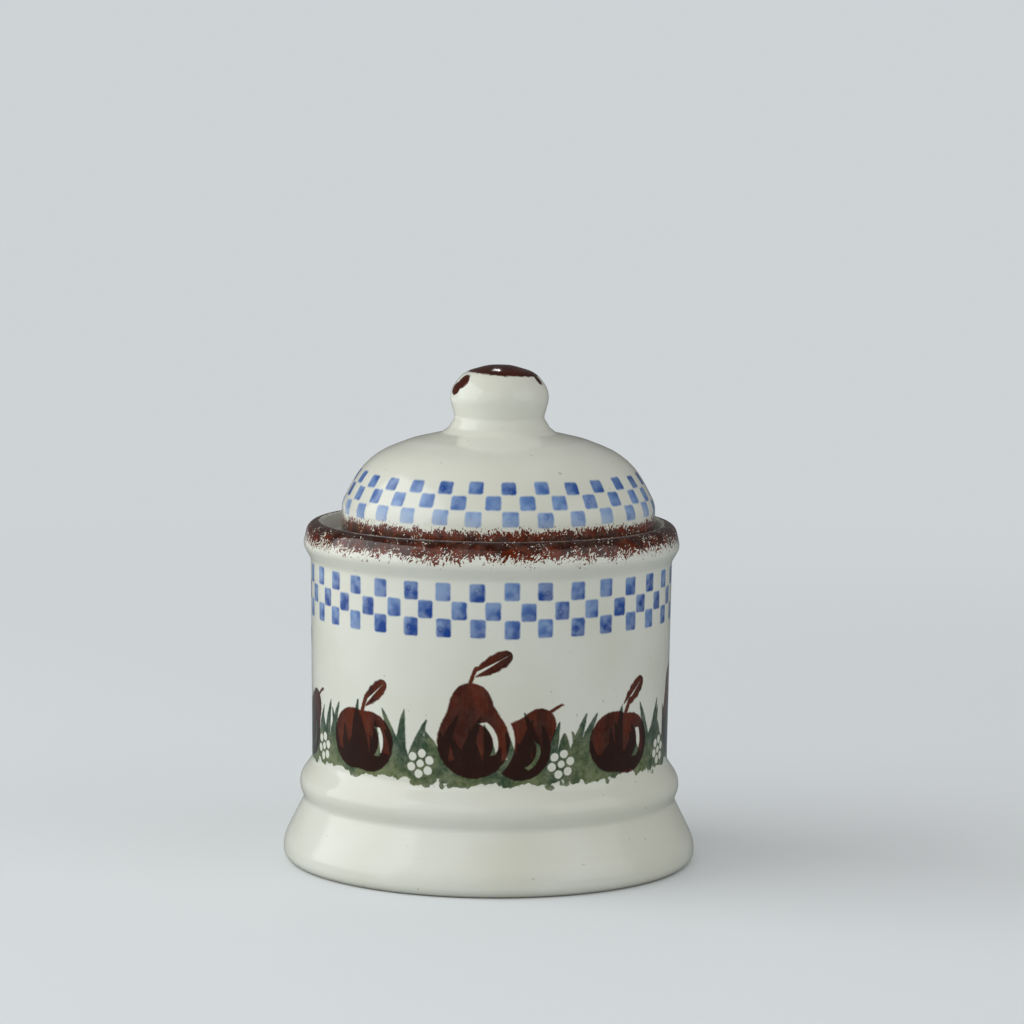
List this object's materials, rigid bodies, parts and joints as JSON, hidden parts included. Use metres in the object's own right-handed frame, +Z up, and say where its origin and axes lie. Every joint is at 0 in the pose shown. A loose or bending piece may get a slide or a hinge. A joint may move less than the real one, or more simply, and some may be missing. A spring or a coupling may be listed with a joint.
{
  "type": "jam pot",
  "caption": "Round stoneware jam pot on a flared foot, with a loose domed lid that has a knob and a notch for a spoon.",
  "frame": {"origin": "on the pot's axis, at the level that the foot stands on", "axes": "+Z up along the pot's axis, -Y towards the viewer, +X to the viewer's right; the lid's spoon notch is at the back left"},
  "size_m": [0.1001, 0.1, 0.1202],
  "materials": {
    "pot_glaze": "glossy clear glaze over cream clay with sponged decoration",
    "lid_glaze": "glossy clear glaze over cream clay with sponged decoration"
  },
  "bodies": {
    "root": {"pot": "pot_glaze", "lid": "lid_glaze"}
  },
  "joints": []
}
